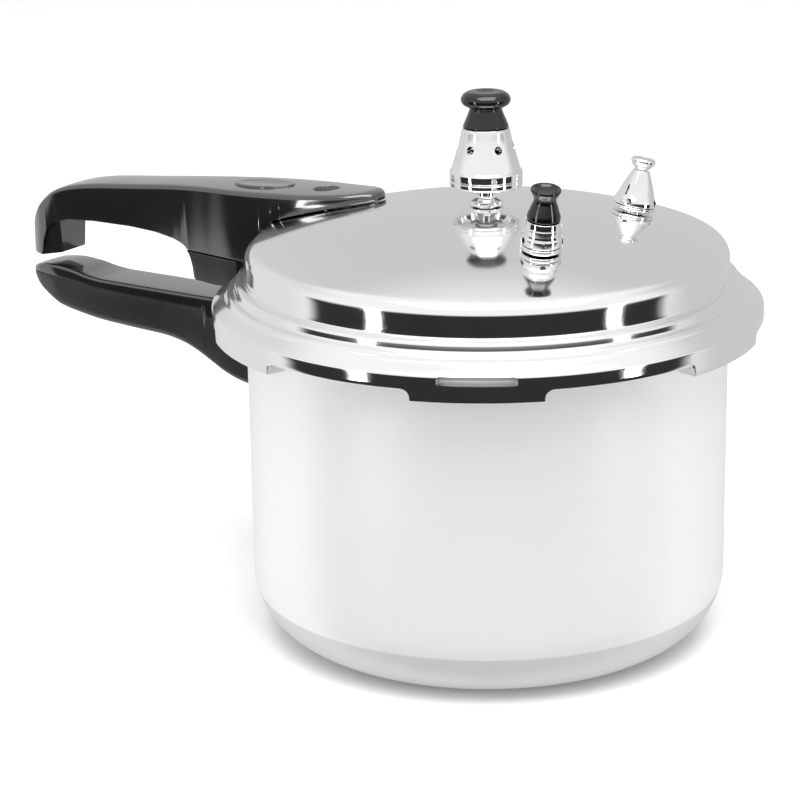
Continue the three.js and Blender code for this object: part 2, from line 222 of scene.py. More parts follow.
def loft(name, sections):
    """A closed skin through loops of points, with both ends capped."""
    count = len(sections[0])
    points = [p for section in sections for p in section]
    faces = ring_faces(len(sections), count)
    faces.append(tuple(range(count))[::-1])
    faces.append(tuple(range((len(sections) - 1) * count, len(sections) * count)))
    return make_object(name, points, faces)


def carve(obj, *cutters):
    """Cuts the cutters out of obj's mesh and removes them."""
    for cutter in cutters:
        modifier = obj.modifiers.new("cut", "BOOLEAN")
        modifier.operation = "DIFFERENCE"
        modifier.solver = "EXACT"
        modifier.object = cutter
    graph = bpy.context.evaluated_depsgraph_get()
    mesh = bpy.data.meshes.new_from_object(obj.evaluated_get(graph))
    obj.modifiers.clear()
    obj.data = mesh
    for cutter in cutters:
        bpy.data.objects.remove(cutter)
    mesh.shade_smooth()
    mesh.set_sharp_from_angle(angle=math.radians(SHARP_EDGE))
    return obj


def add_piece(obj, body, material, slot, *nodes, level=DATUM):
    """Finishes a piece: its level, material, body and the CAD nodes it replaces; slot is not used."""
    obj.data.transform(Matrix.Translation((0, 0, level * MM)))
    obj.data.materials.clear()
    obj.data.materials.append(material)
    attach(obj, body)
    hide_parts(*nodes)
    return obj


def centre_of(node):
    """The middle of a CAD node's box, with its height above DATUM."""
    low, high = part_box(node)
    return (low + high) / 2 - Vector((0, 0, DATUM)) * MM


# ---- materials ----
class Nodes:
    """A material's node tree with short ways to add and join nodes."""

    def __init__(self, name):
        self.material = bpy.data.materials.new(name)
        self.material.use_nodes = True
        self.tree = self.material.node_tree
        self.shader = self.tree.nodes["Principled BSDF"]

    def add(self, kind, **values):
        node = self.tree.nodes.new("ShaderNode" + kind)
        for key, value in values.items():
            if key in node.inputs:
                node.inputs[key].default_value = value
            else:
                setattr(node, key, value)
        return node

    def join(self, source, target):
        self.tree.links.new(source, target)

    def set(self, **values):
        for key, value in values.items():
            self.shader.inputs[key.replace("_", " ")].default_value = value

    def place(self):
        """Object coordinates: metres in the CAD frame, moving with the piece."""
        return self.add("TexCoord").outputs["Object"]

    def math(self, operation, a, b=0.5):
        node = self.add("Math", operation=operation)
        for socket, value in zip(node.inputs, (a, b)):
            if isinstance(value, (int, float)):
                socket.default_value = value
            else:
                self.join(value, socket)
        return node.outputs[0]

    def noise(self, vector, scale, detail=3.0, rough=0.55):
        node = self.add("TexNoise", Scale=scale, Detail=detail, Roughness=rough)
        self.join(vector, node.inputs["Vector"])
        return node.outputs["Fac"]

    def spread(self, fac, low, high, start=0.3, end=0.7):
        """A factor mapped to low..high."""
        node = self.add("MapRange")
        ends = (("From Min", start), ("From Max", end), ("To Min", low), ("To Max", high))
        for key, value in ends:
            node.inputs[key].default_value = value
        self.join(fac, node.inputs["Value"])
        return node.outputs["Result"]

    def ramp(self, fac, *stops):
        node = self.add("ValToRGB")
        elements = node.color_ramp.elements
        while len(elements) < len(stops):
            elements.new(0.5)
        for element, (position, value) in zip(elements, stops):
            element.position = position
            element.color = (*value, 1) if isinstance(value, tuple) else (value, value, value, 1)
        self.join(fac, node.inputs["Fac"])
        return node.outputs["Color"]

    def bump(self, height, strength, distance_mm):
        node = self.add("Bump", Strength=strength, Distance=distance_mm * MM)
        self.join(height, node.inputs["Height"])
        self.join(node.outputs["Normal"], self.shader.inputs["Normal"])

    def turned_lines(self, scale):
        """Noise that changes only with radius and height, as marks left by a lathe or a wheel."""
        parts = self.add("SeparateXYZ")
        self.join(self.place(), parts.inputs[0])
        square = self.math("ADD", self.math("POWER", parts.outputs["X"], 2.0),
                           self.math("POWER", parts.outputs["Y"], 2.0))
        join = self.add("CombineXYZ")
        self.join(self.math("SQRT", square), join.inputs["X"])
        self.join(parts.outputs["Z"], join.inputs["Y"])
        return self.noise(join.outputs[0], scale, 6.0, 0.7)


def aluminium(name, base, rough, spread, line_strength):
    """Turned and polished aluminium: circular marks, faint smudges."""
    n = Nodes(name)
    n.set(Metallic=1.0, Anisotropic=0.0)
    lines = n.turned_lines(900.0)
    smudge = n.noise(n.place(), 22.0, 4.0, 0.6)
    shade = n.math("ADD", n.math("MULTIPLY", lines, 0.35), n.math("MULTIPLY", smudge, 0.65))
    n.join(n.ramp(shade, (0.3, base - 0.03), (0.7, base)), n.shader.inputs["Base Color"])
    n.join(n.spread(shade, rough, rough + spread), n.shader.inputs["Roughness"])
    n.bump(lines, line_strength, 0.02)
    return n.material


def metal(name, base, rough, spread, grain=60.0):
    n = Nodes(name)
    n.set(Metallic=1.0)
    marks = n.noise(n.place(), grain, 5.0, 0.65)
    n.join(n.ramp(marks, (0.3, base * 0.9), (0.7, base)), n.shader.inputs["Base Color"])
    n.join(n.spread(marks, rough, rough + spread), n.shader.inputs["Roughness"])
    n.bump(marks, 0.05, 0.02)
    return n.material


def moulded(name, base, rough, spread, coat, grain=900.0, strength=0.06):
    """Moulded thermoset plastic: near black, fine orange peel, faint wear in the gloss."""
    n = Nodes(name)
    n.set(Specular_IOR_Level=0.6, Coat_Weight=coat, Coat_Roughness=rough * 0.5, Coat_IOR=1.8)
    peel = n.noise(n.place(), grain, 2.0, 0.5)
    wear = n.noise(n.place(), 35.0, 5.0, 0.6)
    n.join(n.ramp(wear, (0.35, base), (0.7, base * 1.35)), n.shader.inputs["Base Color"])
    n.join(n.spread(wear, rough, rough + spread), n.shader.inputs["Roughness"])
    n.bump(peel, strength, 0.05)
    return n.material


def rubber(name, base):
    n = Nodes(name)
    n.set(Specular_IOR_Level=0.35)
    grain = n.noise(n.place(), 700.0, 4.0, 0.6)
    n.join(n.ramp(grain, (0.3, base * 0.9), (0.7, base)), n.shader.inputs["Base Color"])
    n.join(n.spread(grain, 0.5, 0.68), n.shader.inputs["Roughness"])
    n.bump(grain, 0.15, 0.05)
    return n.material


def pot_aluminium():
    """Satin wall that changes to a greyer machined finish low on the base's corner."""
    n = Nodes("pot_satin")
    n.set(Metallic=0.5)
    lines = n.turned_lines(1100.0)
    parts = n.add("SeparateXYZ")
    n.join(n.place(), parts.inputs[0])
    height = n.spread(parts.outputs["Z"], 0.0, 1.0, (BAND_TOP - 0.5) * MM, (BAND_TOP + 0.5) * MM)
    smudge = n.noise(n.place(), 9.0, 3.0, 0.5)
    shade = n.math("ADD", n.math("MULTIPLY", lines, 0.4), n.math("MULTIPLY", smudge, 0.6))
    colour = n.add("Mix", data_type="RGBA")
    n.join(height, colour.inputs["Factor"])
    n.join(n.ramp(shade, (0.3, 0.66), (0.7, 0.7)), colour.inputs["A"])
    n.join(n.ramp(shade, (0.3, 0.85), (0.7, 0.89)), colour.inputs["B"])
    n.join(colour.outputs["Result"], n.shader.inputs["Base Color"])
    n.join(n.spread(shade, 0.38, 0.46), n.shader.inputs["Roughness"])
    n.bump(lines, 0.06, 0.02)
    return n.material


POT_METAL = pot_aluminium()
LID_METAL = aluminium("lid_polished", base=0.93, rough=0.07, spread=0.05, line_strength=0.02)
CHROME = metal("chrome_bright", base=0.9, rough=0.05, spread=0.05)
STEEL = metal("steel_plain", base=0.62, rough=0.22, spread=0.14, grain=140.0)
GLOSS = moulded("handle_gloss_black", base=0.006, rough=0.16, spread=0.06, coat=0.9)
SATIN = moulded("handle_satin_black", base=0.012, rough=0.3, spread=0.1, coat=0.1,
                grain=700.0, strength=0.1)
INLAY = moulded("inlay_black", base=0.02, rough=0.1, spread=0.05, coat=0.6)
KNOB = moulded("knob_black", base=0.002, rough=0.12, spread=0.05, coat=0.0)
SILICONE = rubber("silicone_grey", base=0.36)


# ---- pot ----
def lug_angles():
    """Angles round the pot, with two close together at each lug's end and a fan beside it."""
    half_pitch = 180 / LUGS
    even = [1.5 * j for j in range(1, 30)]
    ends = [LUG_HALF_ANGLE + x for x in (-0.02, 0.02, 0.12, 0.3, 0.6, 1.0, 1.5, 2.1)]
    inner = [x for x in even if x < LUG_HALF_ANGLE - 0.6]
    outer = [x for x in even if ends[-1] + 0.5 < x < half_pitch - 0.1] + [half_pitch]
    half = inner + ends + outer
    angles = []
    for k in range(LUGS):
        middle = k * 360 / LUGS
        angles += [middle + x for x in [0.0, *half]]
        angles += [middle - x for x in half[:-1]]
    return sorted(a % 360 for a in angles)


def from_lug(angle):
    """Degrees from the middle of the nearest lug."""
    pitch = 360 / LUGS
    return abs((angle + pitch / 2) % pitch - pitch / 2)


def pot_profile(angle):
    inner = POT_R - WALL
    lug = from_lug(angle) <= LUG_HALF_ANGLE
    reach = LUG_R if lug else RIM_R
    low = RIM_TOP - 4
    outside = [(0, 0), (POT_R - BASE_CORNER - 3, 0)]
    outside += arc((POT_R - BASE_CORNER, BASE_CORNER), BASE_CORNER, -90, 0, 16)
    outside += [(POT_R, z) for z in (40, 60, 80, 100, 120, RIM_TOP - 10.6)]
    outside += [tuple(p) for p in rounded([(POT_R, RIM_TOP - 10.4), (103.4, RIM_TOP - 6.6, 1.5),
                                           (105.6, low, 0.6), (reach, low, 0.6),
                                           (reach, RIM_TOP, 0.8), (100.4, RIM_TOP, 0.8),
                                           (inner, RIM_TOP - 1.6, 0.8), (inner, RIM_TOP - 9)])[1:]]
    inside = [(inner, z) for z in (110, 80, 50)]
    inside += arc((POT_R - BASE_CORNER, BASE_CORNER + 0.7), BASE_CORNER - WALL, 0, -90, 12)
    return outside + inside + [(0, BASE)]


def pot():
    body = lobed("pot_body_shell", pot_profile, lug_angles())
    add_piece(body, "pot", POT_METAL, "pot_aluminium", "pot_body", level=0.0)


# ---- lid ----
def dome(r, drop=0.0):
    R = DOME_R - drop
    return LID_TOP - DOME_R + math.sqrt(R * R - r * r)


def shoulder_arc(steps, drop=0.0):
    """The round shoulder from the dome down to the upright wall, outside or drop inside it."""
    r = SHOULDER_R - SHOULDER_FILLET
    tangent = math.asin(r / (DOME_R - SHOULDER_FILLET))
    z = LID_TOP - DOME_R + (DOME_R - SHOULDER_FILLET) * math.cos(tangent)
    return arc((r, z), SHOULDER_FILLET - drop, 90 - math.degrees(tangent), 0, steps)


LID_STEPS = [
    (SHOULDER_R, 170), (SHOULDER_R, 167), (SHOULDER_R, 164.4), (SHOULDER_R, 162.1, 0.8),
    (104.6, 162.0, 0.8), (106.9, 161.4, 1), (107.2, 158.4, 0.4), (107.7, 157.8, 0.3),
    (109.8, 157.5, 0.8), (110.8, 156.4, 0.8), (111.1, 155.1, 0.6), (114.8, 152.8, 1.5),
    (LID_R, 151.2, 1.8), (LID_R, 149.4),
]


def lid_edge(angle):
    """(height of the skirt's lower edge, radius of the lug's inner end) at an angle."""
    past = (from_lug(angle) - LUG_HALF_ANGLE) * math.radians(1) * LID_R
    if past <= 0:
        return LUG_Z, LIP_R
    if past >= LUG_FILLET:
        return SKIRT_Z, SKIRT_INNER_R
    rise = math.sqrt(LUG_FILLET**2 - (LUG_FILLET - past) ** 2)
    return SKIRT_Z - LUG_FILLET + rise, SKIRT_INNER_R


def lid_profile(angle):
    edge, lip = lid_edge(angle)
    outside = [(r, dome(r)) for r in range(0, 97, 3)]
    outside += shoulder_arc(12)
    outside += [tuple(p) for p in rounded(LID_STEPS)[1:]]
    band = [(LID_R, lerp(LID_STEPS[-1][1], edge + 0.5, t)) for t in (0.35, 0.7, 1)]
    corner = [(LID_R - 0.15, edge + 0.15), (LID_R - 0.5, edge)]
    under = [(lip + 0.4, edge), (lip, edge + 0.4), (lip, edge + 2.7), (lip + 0.3, edge + 3.0),
             (SKIRT_INNER_R, edge + 3.0)]
    inside = rounded([(SKIRT_INNER_R, 149.6), (113.6, 150.4, 0.5), (110.8, 153.2, 1), (106.4, 155.9, 1),
                      (SHOULDER_R - LID_T, 158, 1), (SHOULDER_R - LID_T, 164)])
    ceiling = shoulder_arc(8, LID_T)[::-1] + [(r, dome(r, LID_T)) for r in range(92, -1, -4)]
    return outside + band + corner + under + [tuple(p) for p in inside] + ceiling


def slot_cutter(name, r0, r1, z0, z1, centre, half, corner):
    """A rounded window through the skirt, as a thick bent plate."""
    middle_z, half_z = (z0 + z1) / 2, (z1 - z0) / 2
    half_arc = math.radians(half) * LID_R
    loop = []
    for sx, sz, start in ((1, 1, 0), (-1, 1, 90), (-1, -1, 180), (1, -1, 270)):
        centre_x, centre_z = sx * (half_arc - corner), sz * (half_z - corner)
        loop += arc((centre_x, centre_z), corner, start, start + 90, 6)
        if sx * sz > 0:
            sides = 14
            step = -sx * 2 * (half_arc - corner) / sides
            loop += [(centre_x + step * k, sz * half_z) for k in range(1, sides)]
    sections = []
    for r in (r0, r1):
        angles = [math.radians(centre) + x / LID_R for x, _ in loop]
        sections.append([(r * math.cos(a), r * math.sin(a), middle_z + z)
                         for a, (_, z) in zip(angles, loop)])
    return loft(name, sections)


def place_on(obj, matrix):
    """Bakes a placement into the piece's mesh, so that its object stays at the origin."""
    obj.data.transform(matrix)
    return obj


def shift(x=0.0, y=0.0, z=0.0):
    return Matrix.Translation(Vector((x, y, z)) * MM)


def joint_axis(name):
    return Vector(next(j for j in frame["joints"] if j["name"] == name)["axis"])


def valve_place(washer, joint):
    """The frame of a valve: its origin on the dome and its axis square to it."""
    axis = joint_axis(joint).normalized()
    origin = centre_of(washer) + axis * WASHER_DEPTH * MM
    turn = Vector((0, 0, 1)).rotation_difference(axis)
    return Matrix.Translation(origin) @ turn.to_matrix().to_4x4()


RELIEF = valve_place("relief_valve_washer", "relief_pop")
SAFETY = valve_place("safety_valve_washer", "safety_pop")
INDICATOR = centre_of("indicator_pin") / MM
BOLT = centre_of("lid_handle_bolt") / MM


def rod(name, r, z0, z1, x=0.0, y=0.0):
    piece = turned(name, [(0, z0), (r, z0), (r, z1), (0, z1)], 48)
    return place_on(piece, shift(x, y))


def lid():
    shell = lobed("lid_dome_shell", lid_profile, lug_angles())
    window = slot_cutter("window", SKIRT_INNER_R - 0.4, LID_R + 3, 147.1, 151.1,
                         WINDOW_ANGLE, WINDOW_HALF, 1.6)
    # Vent pipe, indicator, handle bolt, relief valve and safety valve.
    holes = [
        rod("hole", 5.2, 170, 200),
        rod("hole", 2.9, 150, 190, INDICATOR.x, INDICATOR.y),
        rod("hole", 2.85, 150, 190, BOLT.x, BOLT.y),
        place_on(rod("hole", 4.95, -12, 8), RELIEF),
        place_on(rod("hole", 4.35, -12, 8), SAFETY),
    ]
    carve(shell, window, *holes)
    add_piece(shell, "lid", LID_METAL, "lid_aluminium", "lid_shell")


def gasket():
    ring = turned("gasket_ring", [(100.6, 153), (100.6, 149, 0.6), (104, 149.5, 1), (108, 149, 1),
                                  (113.3, 149, 0.6), (113.3, 149.7, 0.6), (110.4, 152.6, 1),
                                  (106, 155.3, 1), (100.6, 157.1, 0.8), (100.6, 153)], 240)
    add_piece(ring, "gasket", SILICONE, "silicone", "sealing_gasket")


# ---- handles ----
def lid_outside(r):
    """Height of the lid's outside at a radius, and the handle's seam beyond the skirt."""
    if r <= SHOULDER_R - SHOULDER_FILLET:
        return dome(r)
    if r > LID_R:
        return SEAM_Z
    # The upright wall leans by a hair, so that every radius on it has one height.
    drop = [(p[0] - i * 1e-4, p[1]) for i, p in enumerate(shoulder_arc(8)[::-1])][::-1]
    steps = [(corner[0] + 1e-3, corner[1]) for corner in LID_STEPS[3:]]
    return max(SEAM_Z, straight_at(drop + steps, r))


TIP, END = 53.4, 249.4  # ends of the lid handle, out from the axis
UPPER_TOP = [(TIP, 189.4), (54.4, 190.6), (58.4, 191.4), (66, 190.7), (80, 189.5), (95, 188.7),
             (110, 187.9), (125, 187.1), (140, 186.2), (160, 184.6), (182, 182.3), (209, 179.4),
             (222, 177.0), (231, 173.8), (239, 168.4), (245, 161.6), (248.4, 154.4), (END, 147.5)]
UPPER_WIDTH = [(TIP, 2.6), (54.4, 4.8), (56.2, 6.9), (60, 9.4), (66, 12.4), (78, 15.4), (90, 17.2),
               (106, 17.8), (122, 17.0), (138, 14.8), (154, 12.9), (176, 12.1), (205, 12.0), (228, 11.5),
               (240, 9.9), (246.2, 7.4), (END, 4.4)]
GRIP_UNDER = [(GRIP_START, SEAM_Z + 0.1), (152.2, 156.7), (154.4, 158.0), (159, 159.5), (170, 161.2),
              (185, 162.0), (207, 161.8), (223.5, 160.4), (231, 158.2), (236.2, 154.2),
              (239, 148.4), (240, 143), (240.7, 141.1), (247.8, 141.1), (END, 142.6)]
GROOVE_START, TONGUE_START, TONGUE_END = 155.4, 228.95, 240.6
GROOVE_TOP = [(GROOVE_START, 156.5), (158, 166), (164, 175.6), (182, 174.8), (209, 171.8),
              (222, 168.8), (228.9, 164.5)]
TONGUE_UNDER = [(229, 144.2), (229.6, 143.4), (TONGUE_END, 141.1)]


def upper_bottom(out, y, groove_half):
    """Height of the lid handle's underside, out from the axis and y to the side."""
    if out > GRIP_START:
        under = straight_at(GRIP_UNDER, out)
        if abs(y) < groove_half and GROOVE_START < out < TONGUE_START:
            return max(under, straight_at(GROOVE_TOP, out))
        if abs(y) < groove_half + 0.2 and TONGUE_START < out < TONGUE_END:
            return min(under, straight_at(TONGUE_UNDER, out))
        return under
    over_bracket = abs(y) < BRACKET_HALF and out > SHOULDER_R + 2
    reach = math.hypot(out, y) - 0.7
    return max(SEAM_Z, lid_outside(reach) + (3.0 if over_bracket else 0.4))


def box_section(out, half, top, bottom_at, edge=2.6, foot=0.8, inner=7.6, crown=0.5):
    """A loop round a handle at a distance out: a crowned top, round edges and a stepped underside."""
    edge, foot = min(edge, half * 0.8), min(foot, half * 0.3)
    inner = min(inner, half - foot - 0.6)
    loop = []
    for k in range(-4, 5):
        y = k / 4 * (half - edge)
        loop.append((y, top - crown * (y / half) ** 2))
    side_top = loop[-1][1]
    right = [(half - edge + edge * math.sin(a), side_top - edge * 0.8 * (1 - math.cos(a)))
             for a in [math.radians(18 * k) for k in range(1, 6)]]
    left = [(-y, z) for y, z in right]
    rim = half - foot
    side = bottom_at(out, half)
    low = [(half, side + foot), (half - foot * 0.3, side + foot * 0.3), (rim, bottom_at(out, rim))]
    across = (lerp(rim, inner, 0.5), inner + 0.12, inner - 0.12, inner * 0.6, inner * 0.2)
    under = [(y, bottom_at(out, y)) for y in across]
    loop += right + low + under
    loop += [(-y, z) for y, z in reversed(under)] + [(-y, z) for y, z in reversed(low)]
    loop += list(reversed(left))
    return [(-out, y, z) for y, z in loop]


def stations(*spans):
    """Distances out along a handle, as (start, end, count) spans."""
    out = []
    for start, end, count in spans:
        out += [lerp(start, end, k / count) for k in range(count)]
    return out + [spans[-1][1]]


def oval(name, centre, tilt, long, wide, profile):
    """An oval disc with an edge profile of (inset, height) points, tilted along the handle."""
    segments = 96
    angles = [2 * math.pi * k / segments for k in range(segments)]
    sections = []
    for inset, z in profile:
        rx, ry = long - inset, wide - inset
        sections.append([(rx * math.cos(a), ry * math.sin(a), z) for a in angles])
    piece = loft(name, sections)
    turn = Matrix.Rotation(math.radians(-tilt), 4, "Y")
    return place_on(piece, Matrix.Translation(centre) @ turn)


def lid_handle():
    outs = stations((TIP, 54.4, 3), (54.4, 60, 8), (60, 94, 18), (94, 120, 80),
                    (120, GRIP_START, 20), (GRIP_START, 165, 26), (165, 228.9, 34),
                    (228.9, 229.02, 1), (229.02, 240.8, 24), (240.8, END, 20))
    sections = []
    for out in outs:
        half = smooth_at(UPPER_WIDTH, out)
        inner = lerp(BRACKET_HALF, GROOVE_HALF, min(1, max(0, (out - 125) / 20)))
        bottom = lambda x, y, g=inner: upper_bottom(x, y, g)
        sections.append(box_section(out, half, smooth_at(UPPER_TOP, out), bottom, inner=inner))
    upper = loft("lid_handle_grip", sections)
    hole = turned("hole", [(0, 170), (5.0, 170), (5.0, 187.6), (6.1, 189.4), (6.1, 200), (0, 200)],
                  64)
    place_on(hole, shift(INDICATOR.x, INDICATOR.y))
    carve(upper, hole)
    add_piece(upper, "lid", GLOSS, "handle_gloss", "lid_handle_upper")

    low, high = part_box("lid_handle_inlay")
    centre = (low + high) / 2
    centre.z = high.z - (DATUM + 0.9) * MM
    inlay = oval("handle_oval_inlay", centre, 2.8, 15.6, 8.8,
                 [(0, -0.6), (0, 0.1), (0.25, 0.42), (0.8, 0.55), (2.5, 0.5), (5, 0.32), (7.8, 0.25)])
    add_piece(inlay, "lid", INLAY, "handle_inlay", "lid_handle_inlay")

    lower_under = [(120.5, 142.6), (136, 141.8), (146.6, 142.2), (147.4, 143.0), (148, 147.4),
                   (149.4, 151.8), (151.1, 154.7)]
    sections = []
    for out in stations((120.5, 121.3, 2), (121.3, 146.6, 20), (146.6, 148.2, 8), (148.2, 151.1, 8)):
        half = smooth_at(UPPER_WIDTH, out) - 0.15
        bottom = lambda x, y: straight_at(lower_under, x)
        sections.append(box_section(out, half, SEAM_Z - 0.2, bottom, edge=0.5, crown=0.0))
    lower = loft("lid_handle_root", sections)
    screw = centre_of("lid_handle_screw") / MM
    carve(lower, rod("hole", SCREW_HEAD_R, 130, 145.4, screw.x),
          rod("hole", SCREW_R, 130, 160, screw.x))
    add_piece(lower, "lid", SATIN, "handle_satin", "lid_handle_lower")


POT_END = 251.0  # free end of the pot handle, out from the axis
POT_WIDTH = [(107.4, 11.6), (120, 12.0), (150, 12.4), (205, 12.1), (230, 11.4), (242, 9.5),
             (247.4, 7.2), (250, 4.6), (POT_END, 2.6)]
COVER_TOP = [(107.4, 135.1), (150, 134.8), (203, 134.7), (212, 135.4), (222, 137.1), (232, 137.8),
             (240, 137.3), (246.6, 135.6), (POT_END, 133.2)]
SHELL_UNDER = [(107.4, 94.4), (115, 94.9), (125, 96.5), (134, 99.4), (141, 103.0), (148, 106.6),
               (157, 110.1), (168, 112.1), (186, 112.9), (205, 113.9), (219, 115.6),
               (231, 117.8), (239, 121.2), (245.8, 125.3), (249.6, 129), (POT_END, 131.4)]


def seam(out):
    """Height of the joint between the pot handle's shell and cover, with its step near the root."""
    return smooth_at([(142.2, 125.2), (142.8, 125.5), (144, 128.4), (145, 128.8), (185, 129.3),
                      (208, 130.0), (224, 131.5), (241, 132.3), (POT_END, 132.3)], out)


def pot_handle():
    outs = stations((107.4, 142, 18), (142, 145.2, 14), (145.2, 230, 40), (230, POT_END, 28))
    cover_sections, shell_sections = [], []
    for out in outs:
        half = smooth_at(POT_WIDTH, out)
        joint = seam(out)
        top = max(smooth_at(COVER_TOP, out), joint + 0.8)
        cover_sections.append(box_section(out, half, top, lambda x, y, j=joint: j + 0.15,
                                          edge=1.8, foot=0.35, crown=0.3))
        under = min(smooth_at(SHELL_UNDER, out), joint - 0.6)
        keel = lambda x, y, u=under, h=half: u + 1.4 * (y / h) ** 4
        shell_sections.append(box_section(out, half - 0.1, joint - 0.15, keel,
                                          edge=0.35, foot=2.4, crown=0.0))
    cover = loft("pot_handle_top_cover", cover_sections)
    add_piece(cover, "pot", GLOSS, "handle_gloss", "pot_handle_cover")
    shell = loft("pot_handle_lower_shell", shell_sections)
    for name, depth in (("pot_handle_screw_1", 111.4), ("pot_handle_screw_2", 118.6)):
        at = centre_of(name) / MM
        carve(shell, rod("hole", SCREW_HEAD_R, 90, depth, at.x))
    add_piece(shell, "pot", SATIN, "handle_satin", "pot_handle_shell")


# ---- fittings of the lid ----
def vents(r, z, count, span, turn):
    """Radial drills for vent holes, each over a span out from the axis."""
    made = []
    start, end = span
    for k in range(count):
        drill = turned("drill", [(0, start), (r, start), (r, end), (0, end)], 32)
        drill.data.transform(Matrix.Rotation(math.radians(turn + k * 360 / count), 4, "Z")
                             @ Matrix.Rotation(math.radians(90), 4, "Y"))
        made.append(place_on(drill, shift(z=z)))
    return made


def vent_and_weight():
    """Heights here are above the dome's top."""
    top = shift(z=LID_TOP)
    pipe = turned("vent_pipe_stem", [
        (1.6, -1), (1.6, -16.5), (4.7, -16.5, 0.3), (4.7, 0.4), (7.3, 0.4, 0.3), (7.3, 2.3, 0.4),
        (5.6, 2.9, 0.4), (4.3, 3.5, 0.4), (4.0, 4.5, 0.4), (4, 19.7, 0.5), (3.4, 20.5, 0.3),
        (1.6, 20.5), (1.6, -1)], 96)
    add_piece(place_on(pipe, top), "lid", CHROME, "chrome", "vent_pipe")
    weight = turned("weight_body", [
        (5, 20.3), (5, 12.2, 0.2), (11.5, 12.2, 0.4), (12.6, 8.4, 0.3), (13.2, 8.2, 0.2),
        (14.6, 8.2, 0.5), (15.4, 9.0, 0.5), (15.4, 10.9, 0.15), (15.15, 11.1, 0.1),
        (15.15, 11.6, 0.1), (15.4, 11.8, 0.15), (15.4, 14.9, 0.5), (14.6, 15.8, 0.6),
        (13.7, 18.8, 1), (12.4, 23.3, 2), (11.0, 27.8, 2), (10.2, 32.1, 0.4), (9.9, 33.25, 0.3),
        (2.2, 33.25), (2.2, 30.6), (5, 28), (5, 20.3)], 144)
    carve(weight, *vents(1.7, 25.4, 6, (3, 20), 28))
    add_piece(place_on(weight, top), "regulator", CHROME, "chrome", "regulator_weight")
    knob = turned("weight_knob", [
        (0, 47.9), (2.6, 48.05, 1), (5.2, 48.6, 1.5), (8.2, 48.3, 1.6), (10.1, 46.6, 1.6),
        (10.6, 44.9, 1.2), (9.9, 43.2, 1.2), (8.2, 42.2, 0.8), (6.9, 41.6, 0.5), (6.85, 40.9, 0.5),
        (7.5, 39, 1.6), (8.8, 36, 1.6), (9.6, 34, 0.4), (9.5, 33.6, 0.2), (2.1, 33.6), (2.1, 36.4),
        (0, 36.4)], 128)
    add_piece(place_on(knob, top), "regulator", KNOB, "knob_gloss", "regulator_knob")


SPRING_Z = (5.8, 11.2)  # ends of both valve springs along the valve's axis


def valve_spring(name, place, r, node):
    """A coil round the stem, which stays on the lid."""
    wire, turns = 0.35, 3
    low, high = SPRING_Z
    steps = turns * 36
    round_wire = [2 * math.pi * j / 12 for j in range(12)]
    sections = []
    for k in range(steps + 1):
        a = 2 * math.pi * turns * k / steps
        z = lerp(low + wire, high - wire, k / steps)
        section = [(r + wire * math.cos(b), z + wire * math.sin(b)) for b in round_wire]
        sections.append([(reach * math.cos(a), reach * math.sin(a), height)
                         for reach, height in section])
    coil = loft(name, sections)
    add_piece(place_on(coil, place), "lid", STEEL, "steel", node)
    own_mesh(coil)


def relief_valve():
    base = turned("relief_base", [
        (2.2, -4), (2.2, -10), (4.6, -10, 0.4), (4.6, 0.6), (8.3, 0.6, 0.3), (8.6, 1.1, 0.3),
        (8.6, 2.2, 0.3), (8.2, 2.6, 0.2), (2.2, 2.6), (2.2, -4)], 96)
    add_piece(place_on(base, RELIEF), "lid", CHROME, "chrome", "relief_valve_base")
    sleeve = turned("relief_sleeve", [
        (5.9, 8), (5.9, 2.95), (8.3, 2.95, 0.3), (8.5, 3.6, 0.3), (8.4, 6.0, 0.6), (7.9, 6.8, 0.5),
        (7.7, 7.6, 0.4), (7.7, 10.2, 0.3), (7.4, 10.7, 0.3), (7.1, 13.2, 0.3), (2.4, 13.2),
        (2.4, 11.6), (5.9, 11.6), (5.9, 8)], 96)
    carve(sleeve, *vents(1.25, 5.0, 5, (3, 12), 20))
    add_piece(place_on(sleeve, RELIEF), "lid", CHROME, "chrome", "relief_valve_sleeve")
    cap = turned("relief_cap", [
        (2.2, 19), (2.2, 13.6), (6.6, 13.6, 0.3), (6.95, 14.1, 0.4), (6.7, 15.6, 1.6), (5.6, 18.7, 2.4),
        (4.6, 21.4, 1.3), (4.7, 22.9, 1), (5.8, 24.8, 1.0), (6.3, 25.9, 0.6), (5.9, 26.8, 0.5),
        (5.0, 26.6, 0.6), (3.6, 25.6, 1), (0, 25.0), (0, 22.8), (2.2, 22.8), (2.2, 19)], 96)
    add_piece(place_on(cap, RELIEF), "relief_plunger", KNOB, "knob_gloss", "relief_valve_cap")
    valve_spring("relief_coil", RELIEF, 3.6, "relief_valve_spring")


